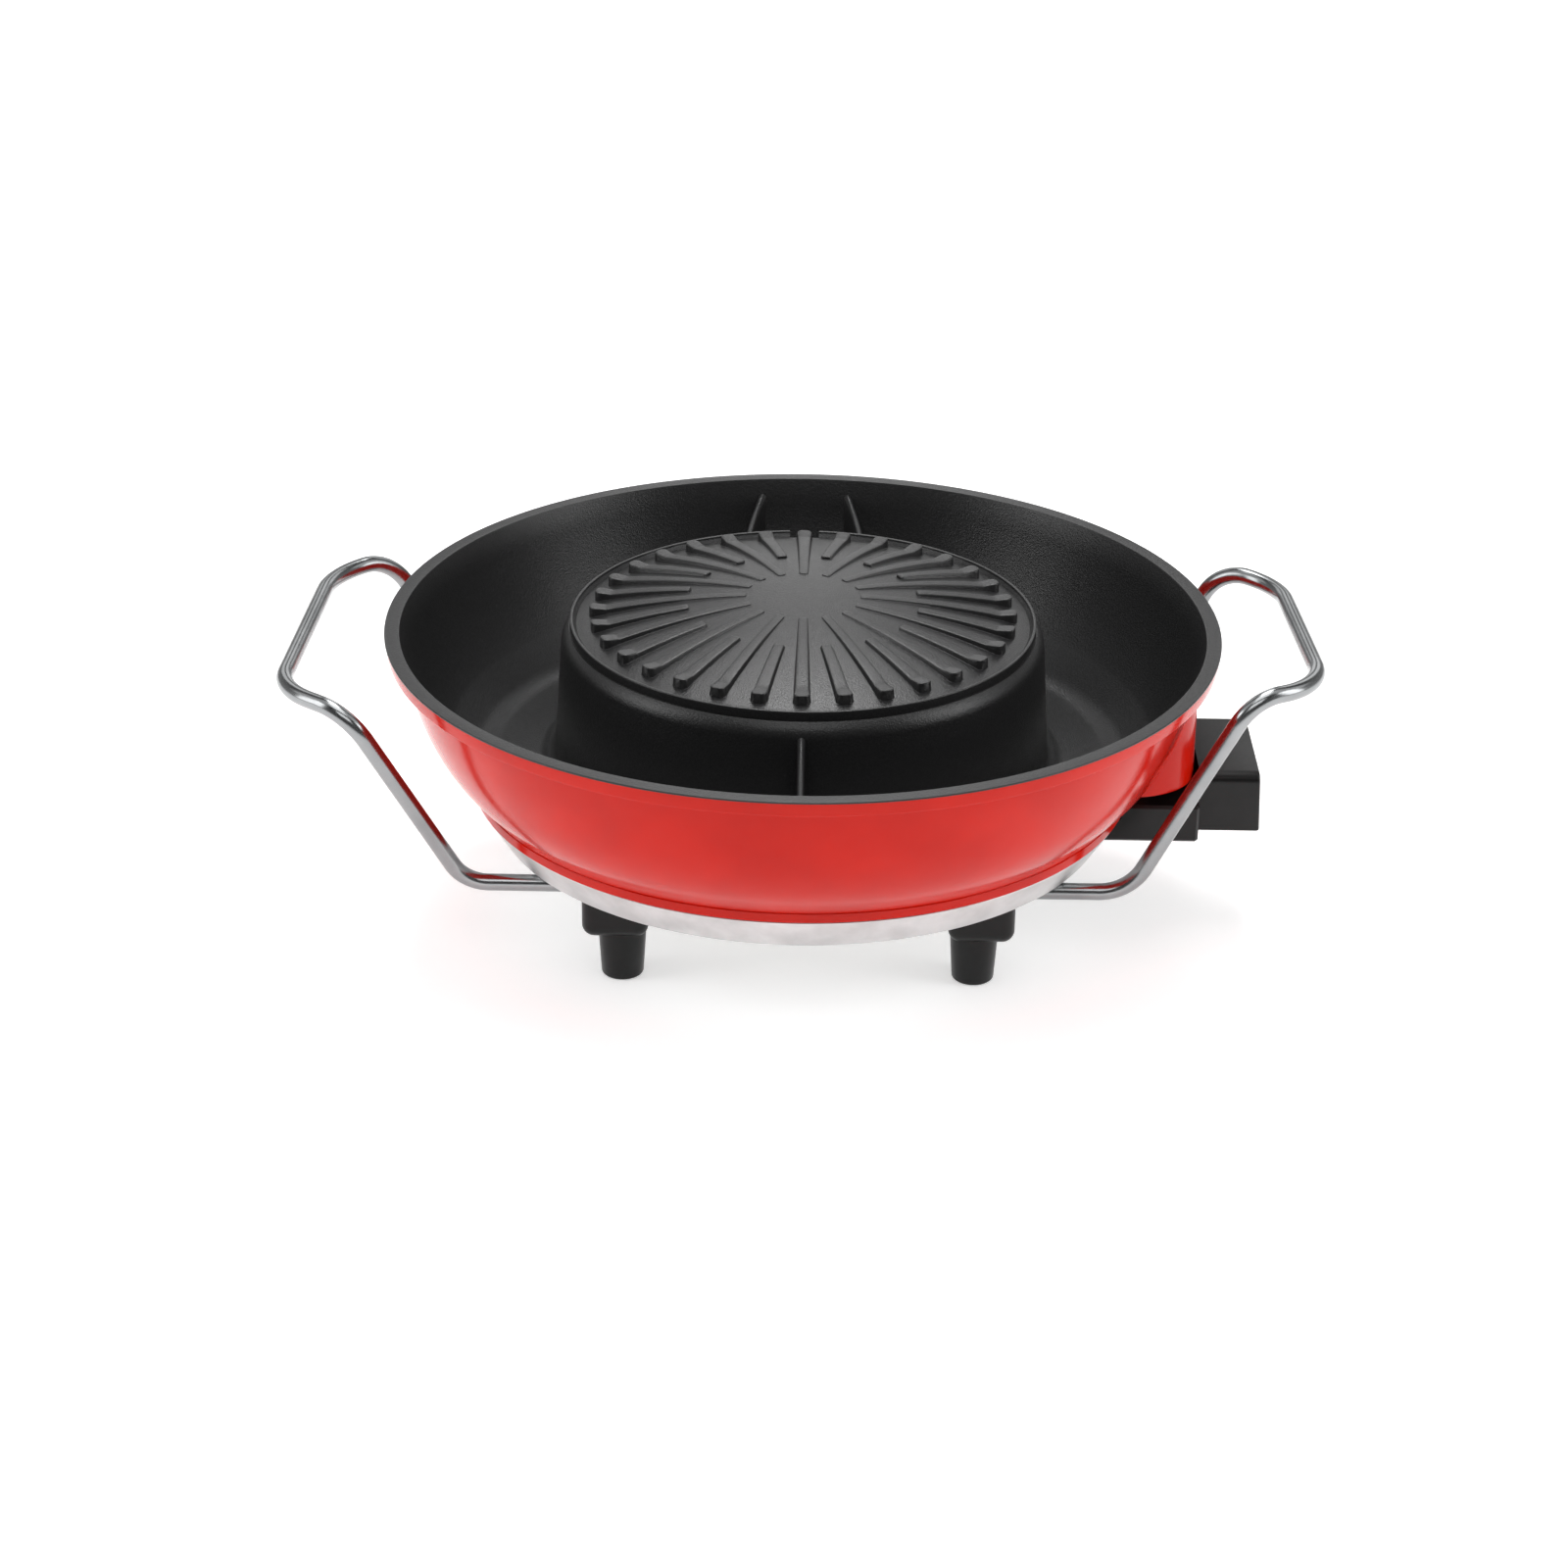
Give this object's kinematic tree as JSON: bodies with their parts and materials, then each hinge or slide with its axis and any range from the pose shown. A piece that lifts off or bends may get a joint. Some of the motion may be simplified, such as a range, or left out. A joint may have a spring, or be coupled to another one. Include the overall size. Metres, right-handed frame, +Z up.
{
  "type": "electric hot pot with grill",
  "caption": "Round electric hot pot with a raised ribbed grill dome in its middle, divided soup trough, wire loop handles, peg feet and a pull-off thermostat control.",
  "frame": {"origin": "on the table below the middle of the pan, at the level of the feet's undersides", "axes": "+X towards the thermostat control, -Y towards the front divider and the camera, +Z up"},
  "size_m": [0.4596, 0.374, 0.1521],
  "materials": {
    "pan_coating": "cast, glossy red enamel outside, dark grey satin non-stick coating inside",
    "bare_aluminium": "satin, bare",
    "plated_sheet": "plated sheet",
    "plated_screws": "plated",
    "black_plastic": "moulded thermoset, fine grain",
    "black_rubber": "soft matte",
    "chrome_wire": "polished plating on steel wire",
    "heater_steel": "heat-darkened sheath",
    "steel_parts": "plated, turned",
    "white_ceramic": "unglazed ceramic",
    "contact_brass": "plain",
    "amber_plastic": "clear amber",
    "lamp_glass": "small neon lamp"
  },
  "bodies": {
    "pan": {"pan_body": "pan_coating", "base_skirt": "bare_aluminium", "bottom_cover": "plated_sheet", "heater_clamp_1": "plated_sheet", "heater_clamp_2": "plated_sheet", "heater_clamp_3": "plated_sheet", "heater_clamp_4": "plated_sheet", "heater_clamp_5": "plated_sheet", "heater_clamp_6": "plated_sheet", "clamp_screw_1": "plated_screws", "clamp_screw_2": "plated_screws", "clamp_screw_3": "plated_screws", "clamp_screw_4": "plated_screws", "clamp_screw_5": "plated_screws", "clamp_screw_6": "plated_screws", "cover_screw_1": "plated_screws", "cover_screw_2": "plated_screws", "cover_screw_3": "plated_screws", "foot_screw_front_left": "plated_screws", "foot_screw_front_right": "plated_screws", "foot_screw_back_left": "plated_screws", "foot_screw_back_right": "plated_screws", "housing_screw_front": "plated_screws", "housing_screw_back": "plated_screws", "terminal_housing": "black_plastic", "foot_front_left": "black_plastic", "foot_front_right": "black_plastic", "foot_back_left": "black_plastic", "foot_back_right": "black_plastic", "handle_left": "chrome_wire", "handle_right": "chrome_wire", "heating_element": "heater_steel", "terminal_pin_front": "steel_parts", "terminal_pin_back": "steel_parts", "probe_guide": "steel_parts", "pin_insulator_front": "white_ceramic", "pin_insulator_back": "white_ceramic"},
    "control": {"control_case": "black_plastic", "control_nose": "black_plastic", "case_screw_front": "plated_screws", "case_screw_back": "plated_screws", "contact_socket_front": "contact_brass", "contact_socket_back": "contact_brass", "probe_rod": "steel_parts", "indicator_lens": "amber_plastic", "indicator_lamp": "lamp_glass", "cord_bushing": "black_rubber", "switch_block": "white_ceramic", "contact_blade_fixed": "contact_brass", "blade_spacer": "white_ceramic", "contact_blade_spring": "contact_brass"},
    "dial": {"dial_knob": "black_plastic", "adjusting_shaft": "steel_parts"}
  },
  "joints": [
    {"name": "control_unplug", "type": "slide", "parent": "pan", "child": "control", "axis": [1, 0, 0], "range_m": [0, 0.08]},
    {"name": "dial_turn", "type": "hinge", "parent": "control", "child": "dial", "pos_m": [0.1993, 0, 0.0672], "axis": [1, 0, 0], "range_deg": [0, 270]}
  ]
}
